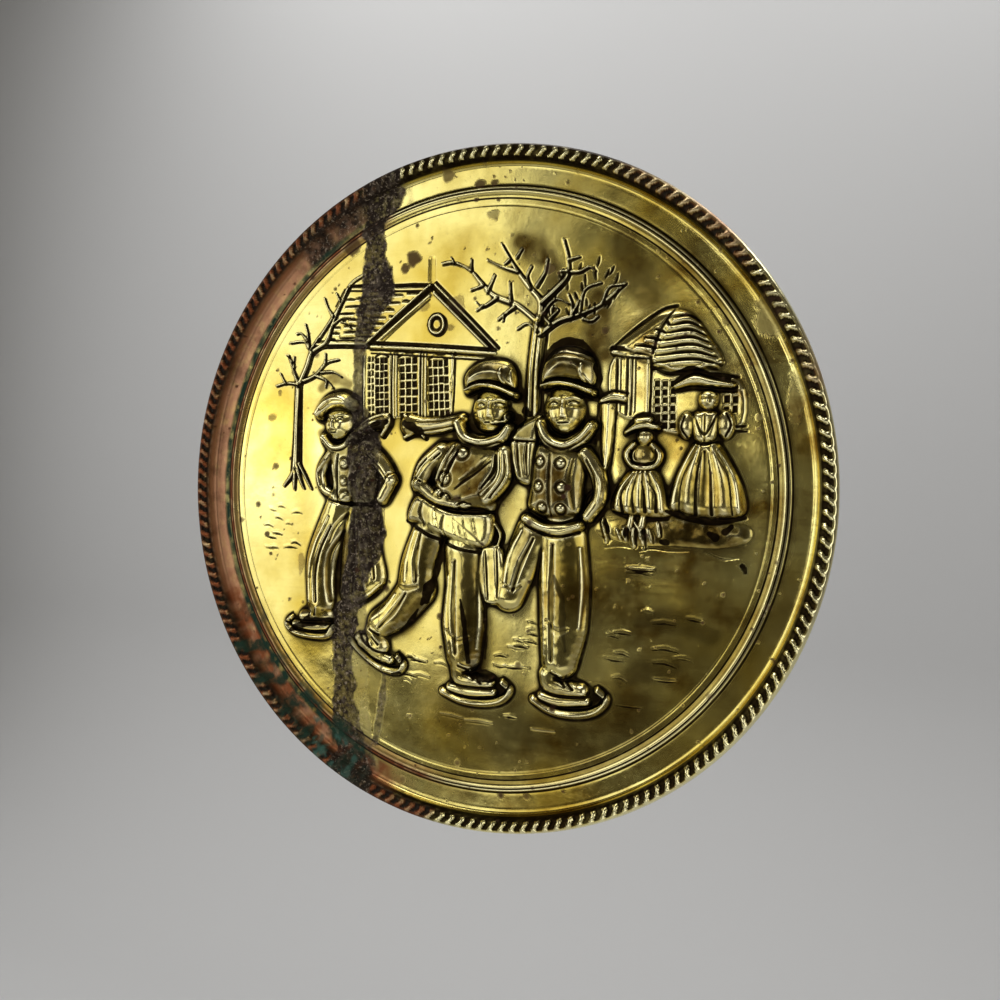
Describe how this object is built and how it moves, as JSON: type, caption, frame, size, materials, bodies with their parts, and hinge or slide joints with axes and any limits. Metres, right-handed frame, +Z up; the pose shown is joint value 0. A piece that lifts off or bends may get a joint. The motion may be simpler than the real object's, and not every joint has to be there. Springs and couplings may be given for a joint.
{
  "type": "wall plaque",
  "caption": "Round stamped brass wall plaque with a raised winter skating scene, ringed border and rope rim, stained and tarnished with age.",
  "frame": {"origin": "on the flat back of the field, 98 mm above the plaque's centre, where it is fixed to the wall", "axes": "+Z up, -Y out of the relief's front, +Y into the wall, +X to the right as seen from the front"},
  "size_m": [0.25, 0.0075, 0.25],
  "materials": {
    "brass_sheet": "polished, stained dark brown and copper red, with green verdigris"
  },
  "bodies": {
    "root": {"plaque_sheet": "brass_sheet"}
  },
  "joints": []
}
